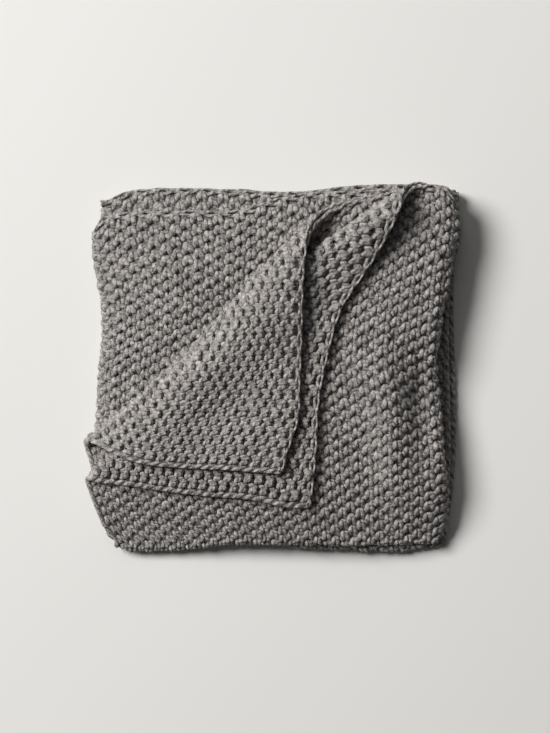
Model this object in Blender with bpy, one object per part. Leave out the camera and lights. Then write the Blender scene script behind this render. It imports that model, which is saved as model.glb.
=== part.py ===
"""A chunky knit blanket, folded in half, then in thirds, with one corner turned back.

The blanket is one knitted sheet. It is folded in half along X, so its two halves lie on each
other and its free ends are at +Y. The doubled cloth is then folded back and forth in thirds along
Y. From the top the six layers are A, B, C, D, E and F. A and B are the first third, C and D the
second, E and F the last. Fold 1 joins A to B, C to D and E to F at -Y. The right fold joins B to
C and, round the outside, A to D. The left fold joins D to E and, round the outside, C to F. The
upper left corner of A and of B is turned back, each over its own slanting line.

Sizes are in metres, +Z is up, and the underside of F lies on Z = 0.
"""

from math import pi

import bmesh
import bpy
import numpy as np

NAME = "blanket"

THICKNESS = 0.009  # of the knitted cloth
PITCH = 0.011  # from one layer to the next
HALF_FOLD_RADIUS = PITCH / 2  # middle of the cloth in fold 1
THIRD_FOLD_RADIUS = PITCH  # middle of the doubled cloth in the left and right folds
OUTER_REACH = THIRD_FOLD_RADIUS + HALF_FOLD_RADIUS + THICKNESS / 2
HALF_REACH = HALF_FOLD_RADIUS + THICKNESS / 2
LOWEST_MIDDLE = THICKNESS / 2 + HALF_FOLD_RADIUS  # between E and F

PANEL_COLUMNS = (15, 12, 12)  # cells across each third
PANEL_ROWS = 13  # cells from fold 1 to the free ends
FOLD_STEPS = 6  # cells round each fold
FOLD_SHARE = 0.017  # of a half's length, from the middle of fold 1 to the start of its panel
CORNER_STEPS = 6  # creases round each turned-back corner

# Edges at the sides, in millimetres from the middle. "at" runs from fold 1 (0) to the free ends (1).
SIDE_COLUMNS = ("at", "hem_a", "hem_b", "left_fold", "right_upper", "right_lower", "hem_e", "hem_f")
SIDES = (
    (0.00, -225, -225, -240, 242, 242, 243, 243),
    (0.04, -238, -236, -243, 243, 244, 245, 246),
    (0.12, -253, -247, -247, 244, 241, 247, 252),
    (0.22, -266, -255, -250, 242, 236, 249, 256),
    (0.35, -269, -272, -249, 237, 229, 249, 257),
    (0.50, -273, -294, -246, 230, 223, 247, 256),
    (0.65, -275, -298, -240, 240, 232, 247, 254),
    (0.80, -276, -301, -246, 252, 248, 252, 256),
    (0.90, -282, -304, -253, 258, 259, 262, 265),
    (1.00, -282, -306, -255, 256, 256, 260, 256),
)

# Fold 1 and the free ends, in millimetres from the middle. "at" runs from the left (0) to the right (1).
END_COLUMNS = ("at", "fold_1", "fold_2", "fold_3", "end_a", "end_b", "end_c", "end_d", "end_e", "end_f")
ENDS = (
    (0.00, -253, -246, -246, 191, 195, 213, 236, 236, 213),
    (0.06, -257, -248, -247, 193, 201, 218, 248, 246, 220),
    (0.14, -257, -250, -248, 195, 211, 219, 251, 253, 226),
    (0.25, -253, -249, -247, 194, 209, 220, 252, 250, 232),
    (0.40, -247, -246, -245, 203, 210, 221, 249, 251, 238),
    (0.50, -247, -247, -246, 214, 210, 236, 247, 244, 240),
    (0.60, -248, -253, -251, 234, 214, 245, 248, 245, 243),
    (0.70, -248, -255, -254, 249, 224, 247, 254, 251, 249),
    (0.80, -248, -257, -256, 258, 239, 249, 257, 254, 252),
    (0.90, -247, -258, -257, 258, 246, 250, 257, 254, 251),
    (1.00, -246, -252, -250, 254, 248, 249, 254, 250, 246),
)

# How each corner turns back, in millimetres: along its line from the lower left (0) to the upper right (1),
# the radius of the turn, how far the line bows to the upper left, and how far the corner pulls it back.
TURN_COLUMNS = ("at", "radius_a", "bow_a", "pull_a", "radius_b", "bow_b", "pull_b")
TURNS = (
    (0.00, 6.0, 0.0, 0.0, 17.5, 0.0, 3.0),
    (0.15, 6.3, 7.0, 0.0, 18.2, 0.0, 10.0),
    (0.30, 6.6, 15.0, 0.0, 19.0, 0.0, 12.0),
    (0.50, 7.4, 25.0, 0.0, 20.0, 0.0, 11.0),
    (0.60, 8.3, 27.5, 0.0, 20.7, 0.0, 6.0),
    (0.70, 9.5, 28.0, 0.0, 21.5, 0.0, 2.0),
    (0.85, 13.0, 17.0, 0.0, 22.5, 0.0, 0.0),
    (1.00, 17.0, 2.0, 0.0, 23.0, 0.0, 0.0),
)
TURN_LINES = {"a": ((-0.261, -0.165), (0.213, 0.243)), "b": ((-0.2505, -0.113), (0.0975, 0.209))}
FLAP_REST = {"a": 0.0102, "b": 0.0312}  # how far each turned-back corner lies above its own layer
FLAP_SETTLE = {"a": 0.06, "b": 0.12}  # how far from its line it takes to settle there
PULL_REACH = 0.22  # how far from its line the cloth is eased together by the pull

FOLD_CORNER_ROUND = 0.015  # how far the left and right folds draw in at fold 1
END_CORNER_ROUND = 0.024  # how far their outer layer draws in at its free end
LOFT = 1.30  # factor on the stack's height where no soft spot changes it
# Where the stack sinks or swells, each over an ellipse; the turn is in degrees, the share is added to LOFT.
SPOT_COLUMNS = ("x", "y", "half_length", "half_width", "turn", "share")
SOFT_SPOTS = (
    (-0.287, 0.080, 0.230, 0.105, 90.0, -0.76),  # rounded left side
    (0.000, -0.284, 0.600, 0.080, 0.0, -0.97),  # rounded front
    (-0.190, -0.225, 0.110, 0.080, 0.0, -0.25),  # soft front left corner
    (0.287, -0.090, 0.290, 0.094, 90.0, -0.58),  # rounded right side
    (0.000, 0.300, 0.600, 0.080, 0.0, -0.25),  # rounded back
    (0.160, -0.055, 0.110, 0.031, 100.0, 0.15),  # soft crest of layer A
    (0.202, -0.050, 0.065, 0.031, 92.0, -0.12),  # soft valley right of it
    (0.108, -0.140, 0.072, 0.031, 100.0, -0.20),  # soft valley left of it
    (-0.112, 0.052, 0.105, 0.032, 46.0, -0.18),  # valley of layer C along the turned-back corner
    (-0.087, -0.068, 0.065, 0.036, 48.0, -0.08),  # soft valley of that corner
)

MIDDLE = (-0.0014, 0.0001)  # of the folded blanket seen from above, where the origin goes

WOOL_GREY = (0.20, 0.195, 0.185, 1.0)


def column(table, names, name):
    """One column of a table, next to its "at" column."""
    rows = np.array(table)
    return rows[:, 0], rows[:, names.index(name)]


def smooth(at, nodes, values):
    """A smooth curve through the table's values: cubic pieces whose slopes are those of the chords."""
    slopes = np.gradient(values, nodes)
    at = np.clip(at, nodes[0], nodes[-1])
    i = np.clip(np.searchsorted(nodes, at, side="right") - 1, 0, len(nodes) - 2)
    step = nodes[i + 1] - nodes[i]
    t = (at - nodes[i]) / step
    rise = values[i + 1] - values[i]
    bend_in = slopes[i] * step - rise
    bend_out = -slopes[i + 1] * step + rise
    return values[i] + t * rise + t * (1 - t) * ((1 - t) * bend_in + t * bend_out)


def side(name, at):
    return smooth(at, *column(SIDES, SIDE_COLUMNS, name)) / 1000


def end(name, at):
    return smooth(at, *column(ENDS, END_COLUMNS, name)) / 1000


def turning(name, at):
    return smooth(at, *column(TURNS, TURN_COLUMNS, name)) / 1000


def blend(a, b, share):
    return a + (b - a) * share


def fold_in_half(across, offset):
    """Fold 1: across runs from -1 (free end of F, C, B) through 0 (the fold) to 1 (free end of A, D, E).

    The middle share of it, of half width FOLD_SHARE, goes round the fold. Returns how far up the panel a
    point is (0 to 1), its reach past the fold's start, its height in the doubled cloth, and the half it is on
    (0 for F, C, B and 1 for A, D, E).
    """
    turn = np.clip(across / FOLD_SHARE, -1, 1) * pi / 2
    up = np.clip((np.abs(across) - FOLD_SHARE) / (1 - FOLD_SHARE), 0, 1)
    reach = (HALF_FOLD_RADIUS + offset) * np.cos(turn)
    height = (HALF_FOLD_RADIUS + offset) * np.sin(turn)
    return up, reach, height, (1 + np.sin(turn)) / 2


def folded_sheet(along, across, offset):
    """Places points of the flat sheet in the folded stack, before the corners are turned back.

    along is 0 to 1 over the first third, 1 to 2 round the right fold, 2 to 3 back over the second third, 3 to
    4 round the left fold, and 4 to 5 over the last third. offset is off the cloth's middle, out of fold 1.
    """
    up, reach, height, upper = fold_in_half(across, offset)
    first = along <= 2
    right_turn = np.clip(along - 1, 0, 1) * pi
    left_turn = np.clip(along - 3, 0, 1) * pi
    at = np.select([along < 1, along < 2, along < 3, along < 4], [along, 1.0, 3 - along, 0.0], along - 4)

    right_share = (1 - np.cos(right_turn)) / 2
    left_share = (1 - np.cos(left_turn)) / 2
    right = blend(side("right_upper", up), side("right_lower", up), right_share) - OUTER_REACH
    left_hem = blend(side("hem_b", up), side("hem_a", up), upper)
    left_fold = side("left_fold", up) + OUTER_REACH
    right_hem = blend(side("hem_f", up), side("hem_e", up), upper)
    left = np.where(first, left_hem, left_fold)
    last_right = np.where(along > 3, right_hem, right)
    x = blend(left, last_right, at)
    x = x + (THIRD_FOLD_RADIUS + height) * np.sin(right_turn)
    x = x - (THIRD_FOLD_RADIUS - height) * np.sin(left_turn)

    def through_thirds(one, two, three):
        return blend(blend(end(one, at), end(two, at), right_share), end(three, at), left_share)

    bottom = through_thirds("fold_1", "fold_2", "fold_3") + HALF_REACH
    upper_end = through_thirds("end_a", "end_d", "end_e")
    lower_end = through_thirds("end_b", "end_c", "end_f")
    y = blend(bottom, blend(lower_end, upper_end, upper), up) - reach
    right_bulge = np.sin(right_turn) ** 2
    left_bulge = np.sin(left_turn) ** 2
    y = y + FOLD_CORNER_ROUND * (right_bulge + left_bulge) * (1 - up) ** 6
    y = y - END_CORNER_ROUND * (right_bulge * upper + left_bulge * (1 - upper)) * up**6

    level = LOWEST_MIDDLE + 2 * THIRD_FOLD_RADIUS * (2 - right_share - left_share)
    z = level + height * np.cos(right_turn) * np.cos(left_turn)
    return np.stack([x, y, z], axis=-1)


def bow(at, corner):
    """How far a corner's line bows to the upper left, once it is pulled back."""
    return turning("bow_" + corner, at) - turning("pull_" + corner, at)


def to_turn(points, corner):
    """(x, y, z) to (distance along the corner's line, turn in radians, height over the cloth's middle)."""
    start, stop = np.array(TURN_LINES[corner])
    length = np.hypot(*(stop - start))
    u = (stop - start) / length
    n = np.array([-u[1], u[0]])
    run = (points[:, :2] - start) @ u
    radius = turning("radius_" + corner, run / length)
    away = (points[:, :2] - start) @ n - bow(run / length, corner)
    return np.stack([run, away / radius, points[:, 2] - layer_middle(corner)], axis=-1)


def from_turn(turned, corner, bent):
    """The way back from to_turn, with the cloth bent over its line where bent is true."""
    start, stop = np.array(TURN_LINES[corner])
    length = np.hypot(*(stop - start))
    u = (stop - start) / length
    n = np.array([-u[1], u[0]])
    run, angle, lift = turned.T
    radius = turning("radius_" + corner, run / length)
    away = angle * radius
    if bent:
        past = np.maximum(away - pi * radius, 0)
        angle = np.clip(angle, 0, pi)
        eased = 2 * turning("pull_" + corner, run / length) * ease(past / PULL_REACH)
        away = np.where(away > 0, (radius - lift) * np.sin(angle) - past + eased, away)
        drop = (2 * radius - FLAP_REST[corner]) * ease(past / FLAP_SETTLE[corner])
        lift = radius - (radius - lift) * np.cos(angle) - drop
    away = away + bow(run / length, corner)
    xy = start + run[:, None] * u + away[:, None] * n
    return np.column_stack([xy, lift + layer_middle(corner)])


def layer_middle(corner):
    return LOWEST_MIDDLE + 4 * THIRD_FOLD_RADIUS + (HALF_FOLD_RADIUS if corner == "a" else -HALF_FOLD_RADIUS)


def ease(t):
    t = np.clip(t, 0, 1)
    return t * t * (3 - 2 * t)


def loft(x, y):
    """How much the stack swells or sinks at (x, y), as a factor on its height."""
    factor = LOFT
    for row in SOFT_SPOTS:
        spot = dict(zip(SPOT_COLUMNS, row))
        c, s = np.cos(np.radians(spot["turn"])), np.sin(np.radians(spot["turn"]))
        p = ((x - spot["x"]) * c + (y - spot["y"]) * s) / spot["half_length"]
        q = ((y - spot["y"]) * c - (x - spot["x"]) * s) / spot["half_width"]
        factor = factor + spot["share"] * np.exp(-(p**2 + q**2))
    return factor


def stations():
    """Where the grid lines run along and across the sheet."""
    one, two, three = PANEL_COLUMNS
    along = np.concatenate(
        [
            np.linspace(0, 1, one + 1)[:-1],
            np.linspace(1, 2, FOLD_STEPS + 1)[:-1],
            np.linspace(2, 3, two + 1)[:-1],
            np.linspace(3, 4, FOLD_STEPS + 1)[:-1],
            np.linspace(4, 5, three + 1),
        ]
    )
    bend = np.linspace(0, FOLD_SHARE, FOLD_STEPS // 2 + 1)
    half = np.concatenate([bend[:-1], np.linspace(FOLD_SHARE, 1, PANEL_ROWS + 1)])
    across = np.concatenate([-half[::-1], half[1:]])
    return along, across


def sheet_mesh():
    """The folded sheet as a bmesh, with an outer face, an inner face and a rim; and the faces of A and B."""
    along, across = stations()
    rows, columns = len(across), len(along)
    a, c = np.meshgrid(along, across)
    sides = [folded_sheet(a, c, offset).reshape(-1, 3) for offset in (THICKNESS / 2, -THICKNESS / 2)]
    bm = bmesh.new()
    verts = [[bm.verts.new(point) for point in points] for points in sides]
    layers = {"a": [], "b": []}
    for row in range(rows - 1):
        for col in range(columns - 1):
            corners = [row * columns + col, row * columns + col + 1]
            corners += [corners[1] + columns, corners[0] + columns]
            outer = bm.faces.new([verts[0][i] for i in corners])
            inner = bm.faces.new([verts[1][i] for i in reversed(corners)])
            if along[col + 1] <= 1 and across[row] >= FOLD_SHARE - 1e-9:
                layers["a"] += [outer, inner]
            if along[col + 1] <= 1 and across[row + 1] <= -FOLD_SHARE + 1e-9:
                layers["b"] += [outer, inner]
    rim = [row * columns for row in range(rows)]
    rim += [(rows - 1) * columns + col for col in range(1, columns)]
    rim += [row * columns + columns - 1 for row in range(rows - 2, -1, -1)]
    rim += list(range(columns - 2, 0, -1))
    edge = []
    for i, j in zip(rim, rim[1:] + rim[:1]):
        edge.append(bm.faces.new([verts[0][i], verts[0][j], verts[1][j], verts[1][i]]))
    for faces in layers.values():
        held = {v for face in faces for v in face.verts}
        faces += [face for face in edge if held.issuperset(face.verts)]
    return bm, layers


def turn_corner(bm, faces, corner):
    """Creases the layer along its line and bends its corner back over it."""
    verts = list({v for face in faces for v in face.verts})
    turned = to_turn(np.array([v.co for v in verts]), corner)
    for v, point in zip(verts, turned):
        v.co = point
    geometry = faces + verts + list({e for face in faces for e in face.edges})
    for angle in np.linspace(0, pi, CORNER_STEPS + 1):
        cut = bmesh.ops.bisect_plane(bm, geom=geometry, dist=1e-6, plane_co=(0, angle, 0), plane_no=(0, 1, 0))
        geometry = cut["geom"]
    verts = [item for item in geometry if isinstance(item, bmesh.types.BMVert)]
    for v, point in zip(verts, from_turn(np.array([v.co for v in verts]), corner, bent=True)):
        v.co = point


def material():
    mat = bpy.data.materials.new("grey_wool")
    mat.use_nodes = True
    shader = mat.node_tree.nodes["Principled BSDF"]
    shader.inputs["Base Color"].default_value = WOOL_GREY
    shader.inputs["Roughness"].default_value = 0.95
    shader.inputs["Metallic"].default_value = 0.0
    return mat


def blanket():
    bm, layers = sheet_mesh()
    for corner, faces in layers.items():
        turn_corner(bm, faces, corner)
    for v in bm.verts:
        v.co.z *= float(loft(v.co.x, v.co.y))
    bmesh.ops.translate(bm, verts=bm.verts, vec=(-MIDDLE[0], -MIDDLE[1], 0))
    bmesh.ops.recalc_face_normals(bm, faces=bm.faces)
    bmesh.ops.triangulate(bm, faces=bm.faces)
    mesh = bpy.data.meshes.new(NAME)
    bm.to_mesh(mesh)
    bm.free()
    mesh.shade_smooth()
    mesh.materials.append(material())
    return bpy.data.objects.new(NAME, mesh)


def main():
    for old in list(bpy.data.objects):
        bpy.data.objects.remove(old)
    collection = bpy.data.collections.new("knit_blanket")
    bpy.context.scene.collection.children.link(collection)
    collection.objects.link(blanket())


main()
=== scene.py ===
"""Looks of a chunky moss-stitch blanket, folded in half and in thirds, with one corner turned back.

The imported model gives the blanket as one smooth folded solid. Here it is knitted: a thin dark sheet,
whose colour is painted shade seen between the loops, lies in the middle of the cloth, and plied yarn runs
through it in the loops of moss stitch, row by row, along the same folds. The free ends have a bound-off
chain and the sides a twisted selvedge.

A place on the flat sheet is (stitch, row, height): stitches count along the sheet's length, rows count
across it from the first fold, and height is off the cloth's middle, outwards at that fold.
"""

import logging
from dataclasses import dataclass, field
from enum import Enum
from math import pi
from typing import ClassVar

import bpy
import numpy as np
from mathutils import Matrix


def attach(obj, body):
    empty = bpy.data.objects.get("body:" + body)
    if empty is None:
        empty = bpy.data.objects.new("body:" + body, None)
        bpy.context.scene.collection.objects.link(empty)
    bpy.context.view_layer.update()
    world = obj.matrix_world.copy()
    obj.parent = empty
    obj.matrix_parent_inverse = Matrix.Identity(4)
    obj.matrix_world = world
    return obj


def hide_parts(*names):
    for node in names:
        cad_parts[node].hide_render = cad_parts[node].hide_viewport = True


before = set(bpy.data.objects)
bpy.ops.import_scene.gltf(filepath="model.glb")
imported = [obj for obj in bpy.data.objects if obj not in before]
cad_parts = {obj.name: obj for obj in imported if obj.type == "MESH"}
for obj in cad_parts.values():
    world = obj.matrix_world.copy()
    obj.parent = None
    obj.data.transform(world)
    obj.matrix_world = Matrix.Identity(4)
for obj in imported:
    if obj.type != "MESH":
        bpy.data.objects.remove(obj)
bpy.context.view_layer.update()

Array = np.ndarray
Pair = tuple[float, float]
Colour = tuple[float, float, float]
Material = bpy.types.Material
Object = bpy.types.Object
Socket = bpy.types.NodeSocket
log = logging.getLogger("knit_blanket")

NODE = "blanket"
MILLIMETRES = 1000  # in a metre
PLY_LUMP = 0.0120  # metres of a hem's strand from one lump of its plies to the next
PULL_REACH = 0.22  # metres of a turned corner that its pull stretches


class Layer(Enum):
    """The six layers of the stack, from the top, as (third of the sheet, half of the sheet)."""

    A = (0, 1)
    B = (0, -1)
    C = (1, -1)
    D = (1, 1)
    E = (2, 1)
    F = (2, -1)

    @property
    def third(self) -> int:
        """Its third of the sheet, from 0."""
        return self.value[0]

    @property
    def half(self) -> int:
        """Its half of the sheet, 1 or -1."""
        return self.value[1]


class Outlook(Enum):
    """Where loops show, as (word in a piece's name, sides of the strand)."""

    TOP = ("top", 5)
    SIDE = ("side", 4)


def blend(start: Array, stop: Array, share: Array) -> Array:
    """Goes straight from start to stop: start + (stop - start) * share."""
    return start + (stop - start) * share


def ease(share: Array) -> Array:
    """A soft step from 0 to 1: 3 s^2 - 2 s^3 with s held between 0 and 1."""
    held = np.clip(share, 0, 1)
    return held * held * (3 - 2 * held)


def smooth(at: Array, nodes: Array, values: Array) -> Array:
    """A smooth curve through a table: on each stretch a cubic whose end slopes are those of the chords.

    Args:
        at: Where the curve is read.
        nodes: The table's rising first column.
        values: The table's second column.

    Returns:
        The curve's values.
    """
    slopes = np.gradient(values, nodes)
    at = np.clip(at, nodes[0], nodes[-1])
    i = np.clip(np.searchsorted(nodes, at, side="right") - 1, 0, len(nodes) - 2)
    step = nodes[i + 1] - nodes[i]
    t = (at - nodes[i]) / step
    rise = values[i + 1] - values[i]
    bend_in = slopes[i] * step - rise
    bend_out = -slopes[i + 1] * step + rise
    return values[i] + t * rise + t * (1 - t) * ((1 - t) * bend_in + t * bend_out)


@dataclass(frozen=True)
class Table:
    """A short table with named columns, read as smooth curves over its first column."""

    names: tuple[str, ...]
    rows: tuple[tuple[float, ...], ...]

    def read(self, name: str, at: Array) -> Array:
        """The smooth values of one column, at places along the first."""
        rows = np.array(self.rows)
        return smooth(at, rows[:, 0], rows[:, self.names.index(name)])


# The edges at the sides, in millimetres from the middle, from the first fold (0) to the free ends (1).
SIDES = Table(
    ("at", "hem_a", "hem_b", "left_fold", "right_upper", "right_lower", "hem_e", "hem_f"),
    (
        (0.00, -225, -225, -240, 242, 242, 243, 243),
        (0.04, -238, -236, -243, 243, 244, 245, 246),
        (0.12, -253, -247, -247, 244, 241, 247, 252),
        (0.22, -266, -255, -250, 242, 236, 249, 256),
        (0.35, -269, -272, -249, 237, 229, 249, 257),
        (0.50, -273, -294, -246, 230, 223, 247, 256),
        (0.65, -275, -298, -240, 240, 232, 247, 254),
        (0.80, -276, -301, -246, 252, 248, 252, 256),
        (0.90, -282, -304, -253, 258, 259, 262, 265),
        (1.00, -282, -306, -255, 256, 256, 260, 256),
    ),
)

# The first fold in each third and each layer's free end, in millimetres, from the left (0) to the right (1).
ENDS = Table(
    ("at", "fold_1", "fold_2", "fold_3", "end_a", "end_b", "end_c", "end_d", "end_e", "end_f"),
    (
        (0.00, -253, -246, -246, 191, 195, 213, 236, 236, 213),
        (0.06, -257, -248, -247, 193, 201, 218, 248, 246, 220),
        (0.14, -257, -250, -248, 195, 211, 219, 251, 253, 226),
        (0.25, -253, -249, -247, 194, 209, 220, 252, 250, 232),
        (0.40, -247, -246, -245, 203, 210, 221, 249, 251, 238),
        (0.50, -247, -247, -246, 214, 210, 236, 247, 244, 240),
        (0.60, -248, -253, -251, 234, 214, 245, 248, 245, 243),
        (0.70, -248, -255, -254, 249, 224, 247, 254, 251, 249),
        (0.80, -248, -257, -256, 258, 239, 249, 257, 254, 252),
        (0.90, -247, -258, -257, 258, 246, 250, 257, 254, 251),
        (1.00, -246, -252, -250, 254, 248, 249, 254, 250, 246),
    ),
)

# How each corner turns back, in millimetres, from its line's lower left (0) to its upper right (1).
TURNS = Table(
    ("at", "radius_a", "bow_a", "pull_a", "radius_b", "bow_b", "pull_b"),
    (
        (0.00, 6.0, 0.0, 0.0, 17.5, 0.0, 3.0),
        (0.15, 6.3, 7.0, 0.0, 18.2, 0.0, 10.0),
        (0.30, 6.6, 15.0, 0.0, 19.0, 0.0, 12.0),
        (0.50, 7.4, 25.0, 0.0, 20.0, 0.0, 11.0),
        (0.60, 8.3, 27.5, 0.0, 20.7, 0.0, 6.0),
        (0.70, 9.5, 28.0, 0.0, 21.5, 0.0, 2.0),
        (0.85, 13.0, 17.0, 0.0, 22.5, 0.0, 0.0),
        (1.00, 17.0, 2.0, 0.0, 23.0, 0.0, 0.0),
    ),
)


@dataclass(frozen=True)
class TurnedCorner:
    """One layer's corner, turned back over a slanting line that may bow."""

    name: str  # of its columns in TURNS
    start: Pair  # of its line, at the lower left
    stop: Pair
    middle: float  # height of the layer's middle
    rest: float  # how far over the layer the corner lies once it has settled
    settle: float  # how far from the line it takes to settle

    def turn(self, points: Array) -> Array:
        """Bends the points past the line back over it.

        Away from the line, a point goes round a circle of the table's radius for half a turn, and then back
        over the layer, sinking softly from twice the radius to the rest height. The pull is how far the
        weight of the corner draws the line back from its bow, which stretches the cloth beside it.

        Args:
            points: Places on the unturned layer, one (x, y, z) a row.

        Returns:
            The places on the turned layer.
        """
        start, stop = np.array(self.start), np.array(self.stop)
        length = np.hypot(*(stop - start))
        u = (stop - start) / length
        n = np.array([-u[1], u[0]])
        run = (points[:, :2] - start) @ u
        columns = (f"{word}_{self.name}" for word in ("radius", "pull", "bow"))
        radius, pull, bow = (TURNS.read(column, run / length) / MILLIMETRES for column in columns)
        bow = bow - pull
        away = (points[:, :2] - start) @ n - bow
        lift = points[:, 2] - self.middle
        angle = np.clip(away / radius, 0, pi)
        past = np.maximum(away - pi * radius, 0)
        drop = (2 * radius - self.rest) * ease(past / self.settle)
        back = (radius - lift) * np.sin(angle) - past + 2 * pull * ease(past / PULL_REACH)
        turned = np.where(away > 0, back, away) + bow
        height = np.where(away > 0, radius - (radius - lift) * np.cos(angle) - drop, lift)
        plan = start + run[:, None] * u + turned[:, None] * n
        return np.column_stack([plan, height + self.middle])


@dataclass(frozen=True)
class SoftSpot:
    """A hollow or swell of the stack: a bell curve of its height's share over an ellipse."""

    x: float
    y: float
    half_length: float
    half_width: float
    turn: float  # degrees
    share: float

    def factor(self, x: Array, y: Array) -> Array:
        """What the spot adds to the stack's height factor at (x, y): share * exp(-p^2 - q^2)."""
        c, s = np.cos(np.radians(self.turn)), np.sin(np.radians(self.turn))
        p = ((x - self.x) * c + (y - self.y) * s) / self.half_length
        q = ((y - self.y) * c - (x - self.x) * s) / self.half_width
        return self.share * np.exp(-(p**2 + q**2))


@dataclass
class FoldedCloth:
    """The way the flat sheet lies in its folds."""

    thickness: float = 0.009
    pitch: float = 0.011  # from one layer to the next
    fold_share: float = 0.017  # of a half's length, from the first fold's middle to its panel
    fold_corner_round: float = 0.015  # metres that the first fold's corners are drawn in
    end_corner_round: float = 0.024  # metres that the free ends' corners are drawn in
    corner_power: int = 6  # how closely both keep to the corners
    loft_factor: float = 1.30  # on the stack's height where no soft spot changes it
    middle: Pair = (-0.0014, 0.0001)
    stitches: int = 105  # along the sheet
    rows: int = 60  # from the first fold to a free end
    # Metres of cloth in each third and fold, for the half that goes round outside and inside at the right.
    outside_lengths: tuple[float, ...] = (0.5350, 0.0640, 0.4573, 0.0173, 0.4858)
    inside_lengths: tuple[float, ...] = (0.5440, 0.0173, 0.4573, 0.0640, 0.4766)
    halves_blend: float = 0.3  # share of each half over which one's lengths pass into the other's
    fold_rows: float = 1.9  # rows from the first fold's middle to its panel
    hem_tightness: float = 0.07  # how much closer stitches are at the first hem than midway to the fold
    fold_tightness: float = 0.08  # how much closer rows are at the first fold than halfway up
    hem_droop: float = 0.0010  # how far the first third's hems hang towards what they lie on
    droop_reach: float = 0.025  # metres from the hem over which they do
    floor_ease: float = 0.002  # height below which yarn is pressed flat
    stitch_size: float = 0.0149
    row_size: float = 0.00802
    spots: tuple[SoftSpot, ...] = (
        SoftSpot(-0.287, 0.080, 0.230, 0.105, 90.0, -0.76),  # rounded left side
        SoftSpot(0.000, -0.284, 0.600, 0.084, 0.0, -1.00),  # rounded front
        SoftSpot(-0.190, -0.225, 0.110, 0.080, 0.0, -0.25),  # soft front left corner
        SoftSpot(0.287, -0.090, 0.290, 0.094, 90.0, -0.58),  # rounded right side
        SoftSpot(0.000, 0.300, 0.600, 0.080, 0.0, -0.25),  # rounded back
        SoftSpot(0.160, -0.055, 0.110, 0.030, 100.0, 0.22),  # soft crest of layer A
        SoftSpot(0.204, -0.045, 0.072, 0.027, 90.0, -0.30),  # soft valley right of it
        SoftSpot(0.106, -0.134, 0.072, 0.030, 100.0, -0.12),  # soft valley left of it
        SoftSpot(0.132, -0.132, 0.055, 0.018, 97.0, -0.13),  # narrow pleat within that valley
        SoftSpot(-0.117, 0.037, 0.110, 0.027, 43.0, -0.31),  # valley of layer C along the turned corner
        SoftSpot(-0.040, 0.040, 0.095, 0.028, 43.0, 0.035),  # crest of that corner
        SoftSpot(-0.087, -0.068, 0.065, 0.036, 48.0, -0.10),  # soft valley of that corner
    )
    half_radius: float = field(init=False)  # of the first fold, at the cloth's middle
    third_radius: float = field(init=False)  # of the right and left folds, at the doubled cloth's middle
    half_reach: float = field(init=False)  # of the first fold, to its skin
    outer_reach: float = field(init=False)  # of the right and left folds, to their skin
    lowest: float = field(init=False)  # height of the lowest doubled layer's middle
    corners: dict[Layer, TurnedCorner] = field(init=False)

    def __post_init__(self) -> None:
        """Works out the folds' radii and reaches, and the two layers' heights whose corners turn back."""
        self.half_radius = self.pitch / 2
        self.third_radius = self.pitch
        self.outer_reach = self.third_radius + self.half_radius + self.thickness / 2
        self.half_reach = self.half_radius + self.thickness / 2
        self.lowest = self.thickness / 2 + self.half_radius
        top = self.lowest + 4 * self.third_radius
        upper = top + self.half_radius
        lower = top - self.half_radius
        self.corners = {
            Layer.A: TurnedCorner("a", (-0.261, -0.165), (0.213, 0.243), upper, rest=0.0102, settle=0.06),
            Layer.B: TurnedCorner("b", (-0.2505, -0.113), (0.0975, 0.209), lower, rest=0.0312, settle=0.12),
        }

    def loft(self, x: Array, y: Array) -> Array:
        """The factor on the stack's height at (x, y), with its soft spots."""
        return self.loft_factor + sum(spot.factor(x, y) for spot in self.spots)

    def along(self, stitch: Array, across: Array) -> Array:
        """Where a stitch lies in the row of thirds and folds, each of which counts 1.

        Args:
            stitch: Stitches from the first third's hem.
            across: -1 to 1 over the two halves.

        Returns:
            0 to 1 in the first third, 1 to 2 round the right fold, and so on to 5.
        """
        share = ease((across + self.halves_blend) / (2 * self.halves_blend))
        marks = [np.concatenate([[0], np.cumsum(w)]) for w in (self.inside_lengths, self.outside_lengths)]
        marks = [m / m[-1] * self.stitches for m in marks]
        steps = np.arange(len(marks[0]), dtype=float)
        inside, outside = (np.interp(stitch, m, steps) for m in marks)
        along = blend(inside, outside, share)
        first = np.clip(along, 0, 1)
        return along - self.hem_tightness * first * (1 - first)

    def folded(self, along: Array, across: Array, offset: Array) -> Array:
        """Places points of the flat sheet in the folded stack, before the corners are turned back.

        The first fold is half a circle about the line between the two halves, the right and left folds are
        half circles about the doubled cloth, and each panel runs straight between its edges' tables.

        Args:
            along: 0 to 5 over the thirds and the folds between them.
            across: -1 to 1 over the halves.
            offset: Metres off the cloth's middle.

        Returns:
            One (x, y, z) a point.
        """
        turn = np.clip(across / self.fold_share, -1, 1) * pi / 2
        up = np.clip((np.abs(across) - self.fold_share) / (1 - self.fold_share), 0, 1)
        reach = (self.half_radius + offset) * np.cos(turn)
        height = (self.half_radius + offset) * np.sin(turn)
        upper = (1 + np.sin(turn)) / 2
        right_turn = np.clip(along - 1, 0, 1) * pi
        left_turn = np.clip(along - 3, 0, 1) * pi
        parts = [along < 1, along < 2, along < 3, along < 4]
        at = np.select(parts, [along, 1.0, 3 - along, 0.0], along - 4)
        right_share = (1 - np.cos(right_turn)) / 2
        left_share = (1 - np.cos(left_turn)) / 2

        def side(name: str) -> Array:
            """Where one side's edge is, in metres, at this share of the way up."""
            return SIDES.read(name, up) / MILLIMETRES

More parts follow.
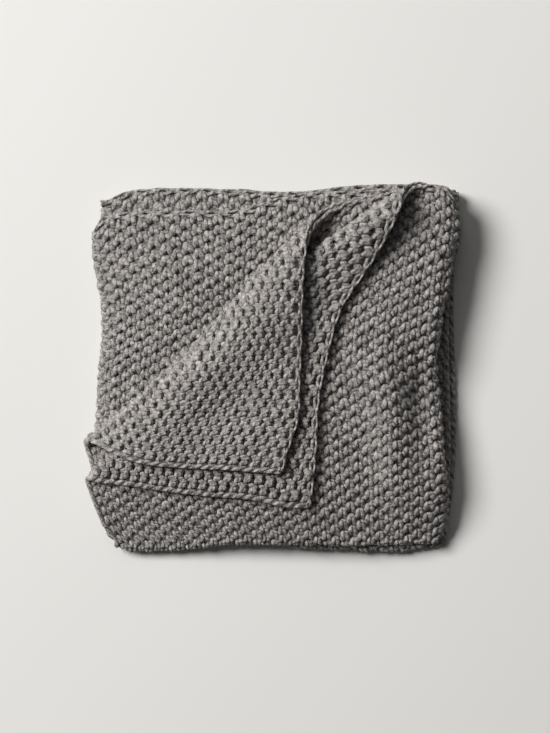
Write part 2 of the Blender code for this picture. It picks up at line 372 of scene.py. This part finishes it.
        right = blend(side("right_upper"), side("right_lower"), right_share) - self.outer_reach
        left_hem = blend(side("hem_b"), side("hem_a"), upper)
        right_hem = blend(side("hem_f"), side("hem_e"), upper)
        left = np.where(along <= 2, left_hem, side("left_fold") + self.outer_reach)
        x = blend(left, np.where(along > 3, right_hem, right), at)
        x = x + (self.third_radius + height) * np.sin(right_turn)
        x = x - (self.third_radius - height) * np.sin(left_turn)

        def through_thirds(one: str, two: str, three: str) -> Array:
            """Where a fold or end is, in metres, passing from each third's table to the next one's."""
            first_two = blend(ENDS.read(one, at), ENDS.read(two, at), right_share)
            return blend(first_two, ENDS.read(three, at), left_share) / MILLIMETRES

        bottom = through_thirds("fold_1", "fold_2", "fold_3") + self.half_reach
        upper_end = through_thirds("end_a", "end_d", "end_e")
        lower_end = through_thirds("end_b", "end_c", "end_f")
        y = blend(bottom, blend(lower_end, upper_end, upper), up) - reach
        right_bulge = np.sin(right_turn) ** 2
        left_bulge = np.sin(left_turn) ** 2
        power = self.corner_power
        y = y + self.fold_corner_round * (right_bulge + left_bulge) * (1 - up) ** power
        y = y - self.end_corner_round * (right_bulge * upper + left_bulge * (1 - upper)) * up**power
        z = self.lowest + 2 * self.third_radius * (2 - right_share - left_share)
        z = z + height * np.cos(right_turn) * np.cos(left_turn)
        return np.column_stack([x, y, z])

    def turned(self, along: Array, across: Array, offset: Array) -> Array:
        """Places points in the folded stack as folded() does, and turns back the two corners.

        Args:
            along: 0 to 5 over the thirds and the folds between them.
            across: -1 to 1 over the halves.
            offset: Metres off the cloth's middle.

        Returns:
            One (x, y, z) a point, before the stack's loft.
        """
        points = self.folded(along, across, offset)
        for layer, corner in self.corners.items():
            held = (along <= 1) & (across * layer.half > self.fold_share)
            points[held] = corner.turn(points[held])
        return points

    def place(self, stitch: Array, row: Array, height: Array) -> Array:
        """Places points of the flat knitting in the folded blanket.

        The loft lifts the cloth's middle by its factor; the yarn keeps its own thickness, but for where the
        layers lie pressed, and is pressed flat on the floor.

        Args:
            stitch: Stitches along the sheet.
            row: Rows across it, negative in the half that holds B, C and F.
            height: Metres off the cloth's middle.

        Returns:
            One (x, y, z) a point, in the blanket's own frame.
        """
        row_marks = np.array([-self.rows, -self.fold_rows, self.fold_rows, self.rows])
        across = np.interp(row, row_marks, [-1, -self.fold_share, self.fold_share, 1])
        up = np.clip((np.abs(across) - self.fold_share) / (1 - self.fold_share), 0, 1)
        across = across - np.sign(across) * self.fold_tightness * up * (1 - up)
        along = self.along(np.asarray(stitch, float), across)
        middle = self.turned(along, across, np.zeros(len(along)))
        points = self.turned(along, across, height)
        from_hem = np.minimum(stitch * self.stitch_size, (self.rows - np.abs(row)) * self.row_size)
        droop = self.hem_droop * (1 - ease(from_hem / self.droop_reach)) * (along < 1)
        middle[:, 2] -= droop
        points[:, 2] -= droop
        factor = self.loft(middle[:, 0], middle[:, 1])
        squash = np.minimum(1, (1 + factor) / 2)
        points[:, 2] = middle[:, 2] * factor + (points[:, 2] - middle[:, 2]) * squash
        low = points[:, 2] < self.floor_ease
        points[low, 2] = self.floor_ease * np.exp(points[low, 2] / self.floor_ease - 1)
        points[:, :2] -= self.middle
        return points

    def rings(self, middle: Array, direction: Array, radius: Array, sides: int) -> tuple[Array, Array]:
        """Rings of points round strands on the flat cloth, square to the strands there.

        Args:
            middle: (stitch, row, height) along each strand, as an array of strands by steps by 3.
            direction: Which way each strand runs there, in the same units.
            radius: The strand's radius there, in metres.
            sides: Points a ring.

        Returns:
            (stitch, row, height) of every ring's points, and the metres run along each strand.
        """
        cell = np.array([self.stitch_size, self.row_size, 1.0])
        along = direction * cell
        along = along / np.linalg.norm(along, axis=-1, keepdims=True)
        aside = np.cross(along, [0.0, 0.0, 1.0])
        aside = aside / np.linalg.norm(aside, axis=-1, keepdims=True)
        over = np.cross(aside, along)
        angle = (np.arange(sides) * 2 * pi / sides)[:, None]
        ring = aside[:, :, None] * np.cos(angle) + over[:, :, None] * np.sin(angle)
        metres = middle * cell
        rings = (metres[:, :, None] + radius[:, :, None, None] * ring) / cell
        legs = np.linalg.norm(np.diff(metres, axis=1), axis=-1)
        return rings, np.pad(np.cumsum(legs, axis=1), ((0, 0), (1, 0)))


@dataclass
class Recipe:
    """A material in the making: its main shader, and short ways to add nodes and join them."""

    name: str
    roughness: float
    specular: float
    material: Material = field(init=False)
    nodes: bpy.types.Nodes = field(init=False)
    shader: bpy.types.Node = field(init=False)

    def __post_init__(self) -> None:
        """Makes the material with its main shader."""
        self.material = bpy.data.materials.new(self.name)
        self.material.use_nodes = True
        self.nodes = self.material.node_tree.nodes
        self.shader = self.nodes["Principled BSDF"]
        self.feed(self.shader, {"Roughness": self.roughness, "Specular IOR Level": self.specular})

    def feed(self, node: bpy.types.Node, values: dict[str | int, object]) -> None:
        """Sets a node's inputs.

        Args:
            node: The node.
            values: What each input gets, by name or number: a value or another node's output.
        """
        for key, value in values.items():
            if isinstance(value, Socket):
                self.material.node_tree.links.new(value, node.inputs[key])
            else:
                node.inputs[key].default_value = value

    def maths(self, operation: str, *operands: float | Socket) -> Socket:
        """Adds a maths node.

        Args:
            operation: What it works out.
            *operands: What from.

        Returns:
            Its output.
        """
        node = self.nodes.new("ShaderNodeMath")
        node.operation = operation
        self.feed(node, dict(enumerate(operands)))
        return node.outputs[0]

    def noise(self, scale: float, detail: float = 2.0) -> Socket:
        """Adds noise that stays with the object.

        Args:
            scale: How fine it is, in lumps a metre.
            detail: How many finer layers it has.

        Returns:
            Its output, 0 to 1.
        """
        node = self.nodes.new("ShaderNodeTexNoise")
        place = self.nodes.new("ShaderNodeTexCoord").outputs["Object"]
        self.feed(node, {"Vector": place, "Scale": scale, "Detail": detail})
        return node.outputs["Fac"]

    def colour(self, tone: Socket, dark: Colour, light: Colour) -> None:
        """Colours the material.

        Args:
            tone: What the colour follows, 0 to 1.
            dark: The colour at 0.
            light: The colour at 1.
        """
        ramp = self.nodes.new("ShaderNodeValToRGB")
        for element, colour in zip(ramp.color_ramp.elements, (dark, light)):
            element.color = (*colour, 1)
        self.feed(ramp, {"Fac": tone})
        self.feed(self.shader, {"Base Color": ramp.outputs["Color"]})


@dataclass(frozen=True)
class YarnFinish:
    """Soft plied wool: two plies wind round the strand, with a felted haze and mottled grey.

    A ply shows where the cosine of the turn round the strand, less half a turn for each lump of the run, is
    far from 0. The tone is the mottle, stretched about its middle, and a share of the ply: painted shade
    that darkens the grooves between the plies, where the bump also sinks.
    """

    name: str = "grey_wool_yarn"
    dark: Colour = (0.095, 0.089, 0.086)
    light: Colour = (0.605, 0.571, 0.553)
    roughness: float = 0.93
    specular: float = 0.2
    sheen: float = 0.25
    sheen_roughness: float = 0.6
    sheen_tint: Colour = (0.9, 0.88, 0.85)
    coarse_mottle: Pair = (140.0, 2.0)  # lumps a metre, detail
    fine_mottle: Pair = (420.0, 4.0)
    coarse_share: float = 0.8
    mottle_middle: float = 0.9
    mottle_contrast: float = 1.7
    # painted shade: how much darker the grooves between the plies are than their crests
    ply_groove_shade: float = 0.35
    base_tone: float = 0.25
    fuzz: Pair = (450.0, 4.0)
    ply_depth: float = 0.6
    fuzz_depth: float = 1.2
    relief: float = 0.0022  # metres

    def material(self) -> Material:
        """Makes the yarn's material, whose ply lines follow the strand's own attribute.

        Returns:
            The material.
        """
        recipe = Recipe(self.name, self.roughness, self.specular)
        maths = recipe.maths
        sheen = {"Sheen Weight": self.sheen, "Sheen Roughness": self.sheen_roughness}
        recipe.feed(recipe.shader, {**sheen, "Sheen Tint": (*self.sheen_tint, 1)})

        strand = recipe.nodes.new("ShaderNodeAttribute")
        strand.attribute_name = "strand"
        split = recipe.nodes.new("ShaderNodeSeparateXYZ")
        recipe.feed(split, {0: strand.outputs["Vector"]})
        cosine, sine, lumps = split.outputs
        wound = maths("SUBTRACT", maths("ARCTAN2", sine, cosine), maths("MULTIPLY", lumps, pi))
        ply = maths("ABSOLUTE", maths("COSINE", wound))

        coarse = maths("MULTIPLY", recipe.noise(*self.coarse_mottle), self.coarse_share)
        mottle = maths("ADD", coarse, recipe.noise(*self.fine_mottle))
        mottle = maths("MULTIPLY", maths("SUBTRACT", mottle, self.mottle_middle), self.mottle_contrast)
        # the ply's share of the tone is painted shade in the grooves between the plies
        tone = maths("ADD", mottle, maths("MULTIPLY", ply, self.ply_groove_shade))
        recipe.colour(maths("ADD", tone, self.base_tone), self.dark, self.light)

        fuzz = maths("MULTIPLY", recipe.noise(*self.fuzz), self.fuzz_depth)
        relief = maths("ADD", maths("MULTIPLY", ply, self.ply_depth), fuzz)
        bump = recipe.nodes.new("ShaderNodeBump")
        recipe.feed(bump, {"Height": relief, "Distance": self.relief, "Strength": 1.0})
        recipe.feed(recipe.shader, {"Normal": bump.outputs["Normal"]})
        return recipe.material


@dataclass(frozen=True)
class MattFinish:
    """A matt surface of one colour, or mottled from dark to light."""

    name: str
    dark: Colour
    light: Colour | None = None
    roughness: float = 1.0
    specular: float = 0.1
    mottle: float = 300.0  # lumps a metre

    def material(self) -> Material:
        """Makes the material.

        Returns:
            The material.
        """
        recipe = Recipe(self.name, self.roughness, self.specular)
        if self.light is None:
            recipe.feed(recipe.shader, {"Base Color": (*self.dark, 1)})
        else:
            recipe.colour(recipe.noise(self.mottle), self.dark, self.light)
        return recipe.material


# The dark sheet inside the knitting, whose colour is painted shade seen only between the loops, and the
# floor.
SHADE_SHEET_FINISH = MattFinish("knit_painted_shade", dark=(0.110, 0.105, 0.102), light=(0.230, 0.219, 0.212))
FLOOR_FINISH = MattFinish("pale_floor", dark=(0.80, 0.796, 0.780), roughness=0.9)


def mesh_object(
    name: str, points: Array, faces: list[Array], material: Material, strand: Array | None = None
) -> Object:
    """Puts computed points and faces into a mesh object at the origin.

    Args:
        name: The piece's name.
        points: One (x, y, z) a row.
        faces: Point numbers of the faces, as arrays with the same number of points a row.
        material: What it is made of.
        strand: What the yarn's material reads at each point, or None.

    Returns:
        The dressed object, linked to the scene.
    """
    faces = [group for group in faces if len(group)]
    loops = np.concatenate([group.ravel() for group in faces])
    sizes = np.concatenate([np.full(len(group), group.shape[1]) for group in faces])
    mesh = bpy.data.meshes.new(name)
    mesh.vertices.add(len(points))
    mesh.vertices.foreach_set("co", points.astype(np.float32).ravel())
    mesh.loops.add(len(loops))
    mesh.loops.foreach_set("vertex_index", loops.astype(np.int32))
    mesh.polygons.add(len(sizes))
    mesh.polygons.foreach_set("loop_start", (np.cumsum(sizes) - sizes).astype(np.int32))
    mesh.update(calc_edges=True)
    mesh.shade_smooth()
    mesh.materials.append(material)
    if strand is not None:
        layer = mesh.attributes.new("strand", "FLOAT_VECTOR", "POINT")
        layer.data.foreach_set("vector", strand.astype(np.float32).ravel())
    obj = bpy.data.objects.new(name, mesh)
    bpy.context.scene.collection.objects.link(obj)
    log.info("%s: %d faces", name, len(sizes))
    return obj


def tube_object(
    name: str, cloth: FoldedCloth, rings: Array, run: Array, material: Material, follows: Array | None = None
) -> Object:
    """Makes tubes through rings of points on the flat cloth, placed in its folds.

    Args:
        name: The piece's name.
        cloth: Where the cloth lies.
        rings: (stitch, row, height) of the points, as tubes by steps by sides by 3.
        run: Lumps of the plies run along each tube, as tubes by steps.
        material: The yarn's.
        follows: Which tubes go on from the one before and share its last ring, or None if no tube does.
            Other ends are closed.

    Returns:
        The dressed piece. Its strand attribute holds the cosine and sine round the strand and the lumps run.
    """
    shape = rings.shape[:3]
    points = cloth.place(*rings.reshape(-1, 3).T)
    angle = np.arange(shape[2]) * 2 * pi / shape[2]
    parts = (np.cos(angle), np.sin(angle), run[:, :, None])
    strand = np.stack([np.broadcast_to(part, shape) for part in parts], axis=-1)
    if follows is None:
        follows = np.zeros(shape[0], bool)
    number = np.arange(len(points)).reshape(shape)
    joined = number.copy()
    joined[follows, 0] = number[np.flatnonzero(follows) - 1, -1]
    ends = ~np.append(follows[1:], False)
    after = np.roll(joined, -1, axis=2)
    quads = np.stack([joined[:, :-1], after[:, :-1], after[:, 1:], joined[:, 1:]], axis=-1).reshape(-1, 4)
    faces = [quads, joined[~follows, 0, ::-1], joined[ends, -1]]
    used = np.zeros(len(points), bool)
    used[joined] = True
    renumber = np.cumsum(used) - 1
    faces = [renumber[group] for group in faces]
    return mesh_object(name, points[used], faces, material, strand.reshape(-1, 3)[used])


@dataclass
class ShadeSheet:
    """The thin dark sheet in the middle of the knitting, whose colour is painted shade seen between the
    loops.
    """

    cloth: FoldedCloth
    finish: MattFinish
    thickness: float = 0.0020
    edge_inset: float = 0.35  # stitches or rows that it stops short of each hem
    columns: int = 150
    column_shares: tuple[float, ...] = (0.30, 0.08, 0.27, 0.08, 0.27)  # in the thirds and the folds between
    rows: int = 96  # in all
    bend_rows: int = 4  # from the first fold's middle to each panel

    def build(self) -> Object:
        """Makes the sheet: a grid placed at plus and minus half its thickness, and a rim.

        Returns:
            The dressed piece.
        """
        cloth = self.cloth
        marks = np.cumsum((0, *cloth.outside_lengths)) / sum(cloth.outside_lengths) * cloth.stitches
        counts = [round(self.columns * share) + 1 for share in self.column_shares]
        parts = [np.linspace(a, b, count)[:-1] for a, b, count in zip(marks, marks[1:], counts)]
        stitch = np.concatenate([*parts, [cloth.stitches]])
        stitch = np.clip(stitch, self.edge_inset, cloth.stitches - self.edge_inset)
        bend = np.linspace(0, cloth.fold_rows, self.bend_rows + 1)[:-1]
        panel = (cloth.fold_rows, cloth.rows - self.edge_inset)
        half = np.concatenate([bend, np.linspace(*panel, self.rows // 2 - self.bend_rows + 1)])
        row = np.concatenate([-half[::-1], half[1:]])
        s, r = np.meshgrid(stitch, row)
        heights = (self.thickness / 2, -self.thickness / 2)
        points = [cloth.place(s.ravel(), r.ravel(), np.full(s.size, height)) for height in heights]
        grid = np.arange(s.size).reshape(s.shape)
        a, b, c, d = (g.ravel() for g in (grid[:-1, :-1], grid[:-1, 1:], grid[1:, 1:], grid[1:, :-1]))
        outer = np.column_stack([a, b, c, d])
        inner = np.column_stack([a, d, c, b]) + s.size
        rim = np.concatenate([grid[0], grid[1:, -1], grid[-1, -2::-1], grid[-2:0:-1, 0]])
        after = np.roll(rim, -1)
        edge = np.column_stack([rim, rim + s.size, after + s.size, after])
        faces = [outer, inner, edge]
        # Its dark mottled colour is painted shade, seen in the gaps between the loops.
        return mesh_object("blanket_shade_sheet", np.concatenate(points), faces, self.finish.material())


@dataclass
class MossStitch:
    """Yarn knitted in moss stitch: each loop stands at the front or at the back of the cloth, by turns.

    A loop leans out from its feet into two plump legs that meet at its head. The table gives its left half,
    seen from the face it stands on with its head up. The right half is the same, turned over. Rows are
    worked outwards from the first fold, so heads point to the free ends in both halves.
    """

    cloth: FoldedCloth
    finish: YarnFinish
    radius: float = 0.0047
    depth: float = 0.0028  # metres off the middle
    lean: Table = Table(  # stitches that a head stands to the right of its feet
        ("stitch", "lean"), ((0.0, 0.06), (33.0, 0.06), (45.0, 0.0), (105.0, 0.0))
    )
    head_scatter: Pair = (0.07, 0.09)  # stitches and rows
    foot_scatter: Pair = (0.06, 0.09)
    depth_scatter: float = 0.24  # share of the depth
    plump_scatter: float = 0.13  # share of the radius
    scatter_limit: float = 2.0  # standard deviations
    wobble: Pair = (0.10, 0.20)  # stitches and rows
    wobble_fade: Pair = (3, 4)  # stitches and rows from the hems over which it fades
    ply_lumps: int = 5  # a loop
    hem_inset: Pair = (0.70, 0.55)  # stitches and rows that the hems' own yarn takes up
    nudge: float = 0.004  # share of a loop each way over which the strand's direction is taken
    sample_step: Pair = (0.33, 0.6)  # stitches and rows between places that make the skins
    square: float = 0.006  # metres, of the coarse plan
    margin: int = 2  # squares by which the skins are eroded
    plan_rim: float = 0.05  # metres, of empty plan round the loops
    spare_squares: int = 12  # of the plan, past its last place
    slack: float = 0.005  # metres under a skin where loops still show
    seed: int = 7
    scatter: Array = field(init=False)  # columns: head aside, up; foot aside, up; depth; plump
    material: Material = field(init=False)

    # Waves of uneven tension: weight, radians a stitch, radians a row, and phase.
    STITCH_WAVES: ClassVar = ((1.0, 0.31, 0.12, 0.0), (1.0, -0.37, 0.21, 1.3), (0.4, 0.75, 0.33, 0.4))
    ROW_WAVES: ClassVar = ((1.0, 0.29, -0.11, 2.1), (1.0, 0.19, 0.23, 0.0), (0.4, 0.63, -0.37, 0.0))

    # From a foot (0) to the head (0.5): stitches and rows off the loop's middle, shares of depth and radius.
    LOOP: ClassVar = Table(
        ("through", "aside", "up", "rise", "plump"),
        (
            (0.00, -0.50, -1.00, 0.00, 0.92),
            (0.10, -0.43, -0.82, 0.35, 0.94),
            (0.19, -0.30, -0.56, 0.95, 1.00),
            (0.28, -0.23, -0.28, 1.18, 1.08),
            (0.37, -0.20, 0.04, 1.05, 1.02),
            (0.44, -0.11, 0.26, 0.78, 1.02),
            (0.50, 0.00, 0.34, 0.62, 1.04),
        ),
    )

    def __post_init__(self) -> None:
        """Makes the yarn's material, and draws each loop's unevenness."""
        size = (self.cloth.stitches + 2, 2 * self.cloth.rows + 2, 6)
        draws = np.random.default_rng(self.seed).normal(size=size)
        self.scatter = np.clip(draws, -self.scatter_limit, self.scatter_limit)
        self.material = self.finish.material()

    def path(self, stitch: Array, row: Array, t: Array) -> tuple[Array, Array]:
        """The middle of the yarn.

        Args:
            stitch: The loop's stitch number.
            row: Its row number.
            t: How far through the loop, 0 to 1.

        Returns:
            One (stitch, row, height) a point, and the strand's thickness there as a share.
        """
        face = 1 - 2 * ((stitch + row) % 2)
        way = np.where(row < 0, -1, 1)
        own = self.scatter[stitch, row + self.cloth.rows]
        following = self.scatter[stitch + 1, row + self.cloth.rows]
        half = 0.5 - np.abs(t - 0.5)
        height_share = (self.LOOP.read("up", half) + 1) / 2
        aside = self.LOOP.read("aside", half) * np.sign(0.5 - t)
        aside = aside + self.lean.read("lean", stitch + t) * face * way * height_share
        foot = np.where((t < 0.5)[..., None], own, following)
        foot_aside = self.foot_scatter[0] * foot[..., 2]
        foot_up = self.foot_scatter[1] * foot[..., 3]
        aside = aside + blend(foot_aside, self.head_scatter[0] * own[..., 0], height_share)
        up = self.LOOP.read("up", half) + blend(foot_up, self.head_scatter[1] * own[..., 1], height_share)
        deep = face * self.LOOP.read("rise", half) * self.depth * (1 + self.depth_scatter * own[..., 4])
        plump = self.LOOP.read("plump", half)
        plump = plump * (1 + self.plump_scatter * own[..., 5] * height_share)
        s, r = self.uneven(stitch + 0.5 + aside, row + 0.5 + way * up)
        shrink = (1 - 2 * self.hem_inset[0] / self.cloth.stitches, 1 - self.hem_inset[1] / self.cloth.rows)
        return np.stack([self.hem_inset[0] + s * shrink[0], r * shrink[1], deep], axis=-1), plump

    def uneven(self, s: Array, r: Array) -> tuple[Array, Array]:
        """Moves places on the sheet a little, as uneven tension does: sums of sine waves, fading at hems.

        Args:
            s: Stitches along the sheet.
            r: Rows across it.

        Returns:
            The moved stitches and rows.
        """
        inside = np.clip(np.minimum(s, self.cloth.stitches - s) / self.wobble_fade[0], 0, 1)
        inside = inside * np.clip((self.cloth.rows - np.abs(r)) / self.wobble_fade[1], 0, 1)
        ds, dr = (
            sum(weight * np.sin(a * s + b * r + phase) for weight, a, b, phase in waves)
            for waves in (self.STITCH_WAVES, self.ROW_WAVES)
        )
        return s + self.wobble[0] * inside * ds, r + self.wobble[1] * inside * dr

    def strands(self, name: str, stitch: Array, row: Array, sides: int) -> Object:
        """Makes the yarn of the given loops: a tube along the path, closed where a run of loops ends.

        Args:
            name: The piece's name.
            stitch: Stitch numbers of the loops.
            row: Their row numbers.
            sides: Of the tube.

        Returns:
            The dressed piece.
        """
        order = np.lexsort((stitch, row))
        stitch, row = stitch[order], row[order]
        t = np.array([point[0] for point in self.LOOP.rows])
        t = np.concatenate([t, 1 - t[-2::-1]])
        middle, plump = self.path(stitch[:, None], row[:, None], t[None, :])
        ahead, _ = self.path(stitch[:, None], row[:, None], np.minimum(t + self.nudge, 1)[None, :])
        behind, _ = self.path(stitch[:, None], row[:, None], np.maximum(t - self.nudge, 0)[None, :])
        rings, run = self.cloth.rings(middle, ahead - behind, self.radius * plump, sides)
        run = (run / run[:, -1:] + stitch[:, None]) * self.ply_lumps
        follows = np.zeros(len(row), bool)
        follows[1:] = (np.diff(row) == 0) & (np.diff(stitch) == 1)
        log.info("%s: %d loops", name, len(row))
        return tube_object(name, self.cloth, rings, run, self.material, follows)

    def shown(self) -> dict[tuple[Layer, Outlook], tuple[Array, Array]]:
        """Finds the loops that show: those near the top or bottom skin of the stack, or near its outline.

        Every loop's middle is placed. The highest and the lowest place over each square of a coarse plan
        give the skins, eroded by a margin, so that cloth just under an edge still counts.

        Returns:
            The loops' stitch and row numbers, in groups by layer and by where they show.
        """
        cloth = self.cloth
        grid = np.meshgrid(np.arange(cloth.stitches), np.arange(-cloth.rows, cloth.rows))
        stitch, row = (part.ravel() for part in grid)
        middle = cloth.place(stitch + 0.5, row + 0.5, np.zeros(len(stitch)))
        low = middle[:, :2].min(axis=0) - self.plan_rim
        step_s, step_r = self.sample_step
        grid = np.meshgrid(np.arange(0, cloth.stitches, step_s), np.arange(-cloth.rows, cloth.rows, step_r))
        dense_s, dense_r = (part.ravel() for part in grid)
        skin = cloth.place(dense_s, dense_r, np.zeros(len(dense_s)))
        cells = ((skin[:, :2] - low) / self.square).astype(int)
        size = cells.max(axis=0) + self.spare_squares
        top = np.full(size, -1.0)
        bottom = np.full(size, 1.0)
        np.maximum.at(top, tuple(cells.T), skin[:, 2])
        np.minimum.at(bottom, tuple(cells.T), skin[:, 2])
        reach = range(-self.margin, self.margin + 1)
        shifts = [(i, j) for i in reach for j in reach]
        top = np.min([np.roll(top, shift, (0, 1)) for shift in shifts], axis=0)
        bottom = np.max([np.roll(bottom, shift, (0, 1)) for shift in shifts], axis=0)
        own = ((middle[:, :2] - low) / self.square).astype(int)
        skin_top = top[own[:, 0], own[:, 1]]
        skin_bottom = bottom[own[:, 0], own[:, 1]]
        near_top = middle[:, 2] > skin_top - self.slack
        visible = near_top | (middle[:, 2] < skin_bottom + self.slack)
        outlooks = {Outlook.TOP: near_top & (skin_top > 0)}
        outlooks[Outlook.SIDE] = visible & ~outlooks[Outlook.TOP]
        along = cloth.along(stitch + 0.5, (row + 0.5) / cloth.rows)
        third = np.select([along < 1.5, along < 3.5], [0, 1], 2)
        half = np.where(row >= 0, 1, -1)
        groups = {}
        for layer in Layer:
            for outlook, seen in outlooks.items():
                held = seen & (third == layer.third) & (half == layer.half)
                groups[layer, outlook] = (stitch[held], row[held])
        return groups

    def build(self) -> list[Object]:
        """Makes the yarn of every layer that shows, finer on top.

        Returns:
            The dressed pieces.
        """
        pieces = []
        for (layer, outlook), (stitch, row) in self.shown().items():
            if len(stitch):
                word, sides = outlook.value
                pieces.append(self.strands(f"knit_{layer.name.lower()}_{word}", stitch, row, sides))
        return pieces


@dataclass
class Hem:
    """Even strands of yarn along the cloth's edges."""

    cloth: FoldedCloth
    material: Material  # the yarn's
    radius: float
    sides: int  # of each strand

    def piece(self, name: str, middle: Array) -> Object:
        """Makes the hem of one edge.

        Args:
            name: The piece's name.
            middle: (stitch, row, height) along each strand's middle, as strands by steps by 3.

        Returns:
            The dressed piece.
        """
        radius = np.full(middle.shape[:2], self.radius)
        rings, run = self.cloth.rings(middle, np.gradient(middle, axis=1), radius, self.sides)
        return tube_object(name, self.cloth, rings, run / PLY_LUMP, self.material)


@dataclass
class TwistedSelvedge(Hem):
    """The sides' hem: two strands of yarn wound about each other, left-handed."""

    radius: float = 0.0034
    sides: int = 8
    winding: float = 0.0023  # of each strand's middle about the rope's
    pitch: float = 4.0  # rows a turn
    inset: float = 0.27  # stitches from the cloth's rim
    end_gap: float = 0.3  # rows that it stops short of the free ends
    steps: int = 16  # rings a turn

    def build(self) -> list[Object]:
        """Makes one rope for each side: each strand's middle is a helix along the rows.

        Returns:
            The two pieces.
        """
        cloth = self.cloth
        row = np.arange(-cloth.rows + self.end_gap, cloth.rows - self.end_gap, self.pitch / self.steps)
        turn = row[None, :] * 2 * pi / self.pitch + np.array([[0.0], [pi]])
        wind = self.winding * np.stack([-np.sin(turn) / cloth.stitch_size, 0 * turn, np.cos(turn)], axis=-1)
        pieces = []
        for name, stitch in (("selvedge_first", self.inset), ("selvedge_last", cloth.stitches - self.inset)):
            line = np.stack(np.broadcast_arrays(stitch, row[None, :], np.zeros((2, 1))), axis=-1)
            pieces.append(self.piece(name, line + wind))
        return pieces


@dataclass
class BoundOffChain(Hem):
    """The free ends' hem: on each face of the cloth two strands part and cross by turns, in long ovals."""

    radius: float = 0.0027
    sides: int = 5
    half_width: float = 0.46  # rows
    oval: float = 2.0  # stitches from one crossing to the next
    crossing: float = 0.0012  # how far the strands rise and sink where they cross
    face_height: float = 0.0036  # metres off the middle
    inset: float = 0.45  # rows from the cloth's rim
    end_gap: float = 0.3  # stitches that it stops short of the sides
    steps: int = 5  # rings a stitch

    def build(self) -> list[Object]:
        """Makes one chain for each free end: a strand's way aside is sine squared, to each side by turns.

        Returns:
            The two pieces.
        """
        cloth = self.cloth
        first, last = self.end_gap, cloth.stitches - self.end_gap
        stitch = np.linspace(first, last, cloth.stitches * self.steps)[None, :]
        strand, face = (part.reshape(-1, 1) for part in np.meshgrid((1, -1), (1, -1)))
        ovals = stitch / self.oval + (1 - face) / 4  # the two faces' ovals are half of one apart
        wave = np.sin(pi * ovals)
        aside = strand * np.sign(wave) * wave**2 * self.half_width
        rise = strand * np.cos(2 * pi * ovals) * np.sign(wave)
        height = face * self.face_height + self.crossing * rise * wave**2
        edge = cloth.rows - self.inset
        pieces = []
        for name, row in (("chain_upper", edge), ("chain_lower", -edge)):
            middle = np.stack(np.broadcast_arrays(stitch, row + aside, height), axis=-1)
            pieces.append(self.piece(name, middle))
        return pieces


@dataclass
class Studio:
    """A pale floor, soft light from the upper left, and the camera straight above."""

    floor_finish: MattFinish = FLOOR_FINISH
    floor_half: float = 6.0  # metres from its middle to its edges
    floor_drop: float = 0.0004  # metres under the blanket
    view_height: float = 1.026  # metres that the camera sees from top to bottom, at the view plane
    view_plane: float = 0.045  # metres over the floor
    camera_height: float = 4.0
    aim: Pair = (0.0028, 0.0013)
    sensor: float = 36.0  # millimetres
    lamp_colour: Colour = (1.0, 0.985, 0.96)
    key_from: tuple[float, float, float] = (-0.62, 0.36, 0.70)  # its direction
    key_distance: float = 7.5
    key_size: float = 3.6
    key_power: float = 710.0
    fill_from: tuple[float, float, float] = (-0.2, 3.0, 3.2)  # its place
    fill_size: float = 2.5
    fill_power: float = 14.0
    sky_colour: Colour = (0.97, 0.98, 1.0)
    ambient: float = 0.05

    def lamp(self, name: str, place: Array, size: float, power: float) -> None:
        """Makes a round soft lamp that faces the origin.

        Args:
            name: The lamp's name.
            place: Where it hangs.
            size: How wide it is, in metres.
            power: Its light, in watts.
        """
        light = bpy.data.lights.new(name, "AREA")
        light.shape = "DISK"
        light.size = size
        light.energy = power
        light.color = self.lamp_colour
        lamp = bpy.data.objects.new(name, light)
        lamp.location = place
        lamp.rotation_euler = (-lamp.location).to_track_quat("-Z", "Y").to_euler()
        bpy.context.scene.collection.objects.link(lamp)

    def build(self) -> None:
        """Makes the floor, the lamps, the sky and the camera."""
        x, y = self.floor_half * np.array([[-1, 1, 1, -1], [-1, -1, 1, 1]])
        points = np.column_stack([x, y, np.full(4, -self.floor_drop)])
        floor = mesh_object("floor", points, [np.array([[0, 1, 2, 3]])], self.floor_finish.material())

        towards = np.array(self.key_from) / np.linalg.norm(self.key_from)
        self.lamp("key", towards * self.key_distance, self.key_size, self.key_power)
        self.lamp("fill", np.array(self.fill_from), self.fill_size, self.fill_power)

        world = bpy.data.worlds.new("soft_sky")
        world.use_nodes = True
        background = world.node_tree.nodes["Background"]
        background.inputs["Color"].default_value = (*self.sky_colour, 1)
        background.inputs["Strength"].default_value = self.ambient
        bpy.context.scene.world = world

        lens = bpy.data.cameras.new("camera")
        lens.sensor_width = self.sensor
        lens.lens = self.sensor * (self.camera_height - self.view_plane) / self.view_height
        camera = bpy.data.objects.new("camera", lens)
        camera.location = (*self.aim, self.camera_height)
        bpy.context.scene.collection.objects.link(camera)
        bpy.context.scene.camera = camera
        bpy.context.scene.view_settings.view_transform = "Standard"


def main() -> None:
    """Builds the blanket and its stage, and says what stands for what."""
    logging.basicConfig(level=logging.INFO, format="%(name)s: %(message)s")
    cloth = FoldedCloth()
    # The dark sheet in the middle is painted shade between the loops.
    core = ShadeSheet(cloth, SHADE_SHEET_FINISH).build()
    stitches = MossStitch(cloth, YarnFinish())
    knit = stitches.build()
    knit += TwistedSelvedge(cloth, stitches.material).build()
    knit += BoundOffChain(cloth, stitches.material).build()
    for piece in (core, *knit):
        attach(piece, "root")
    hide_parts(NODE)
    Studio().build()
    log.info("%d pieces", 1 + len(knit))


if __name__ == "__main__":
    main()
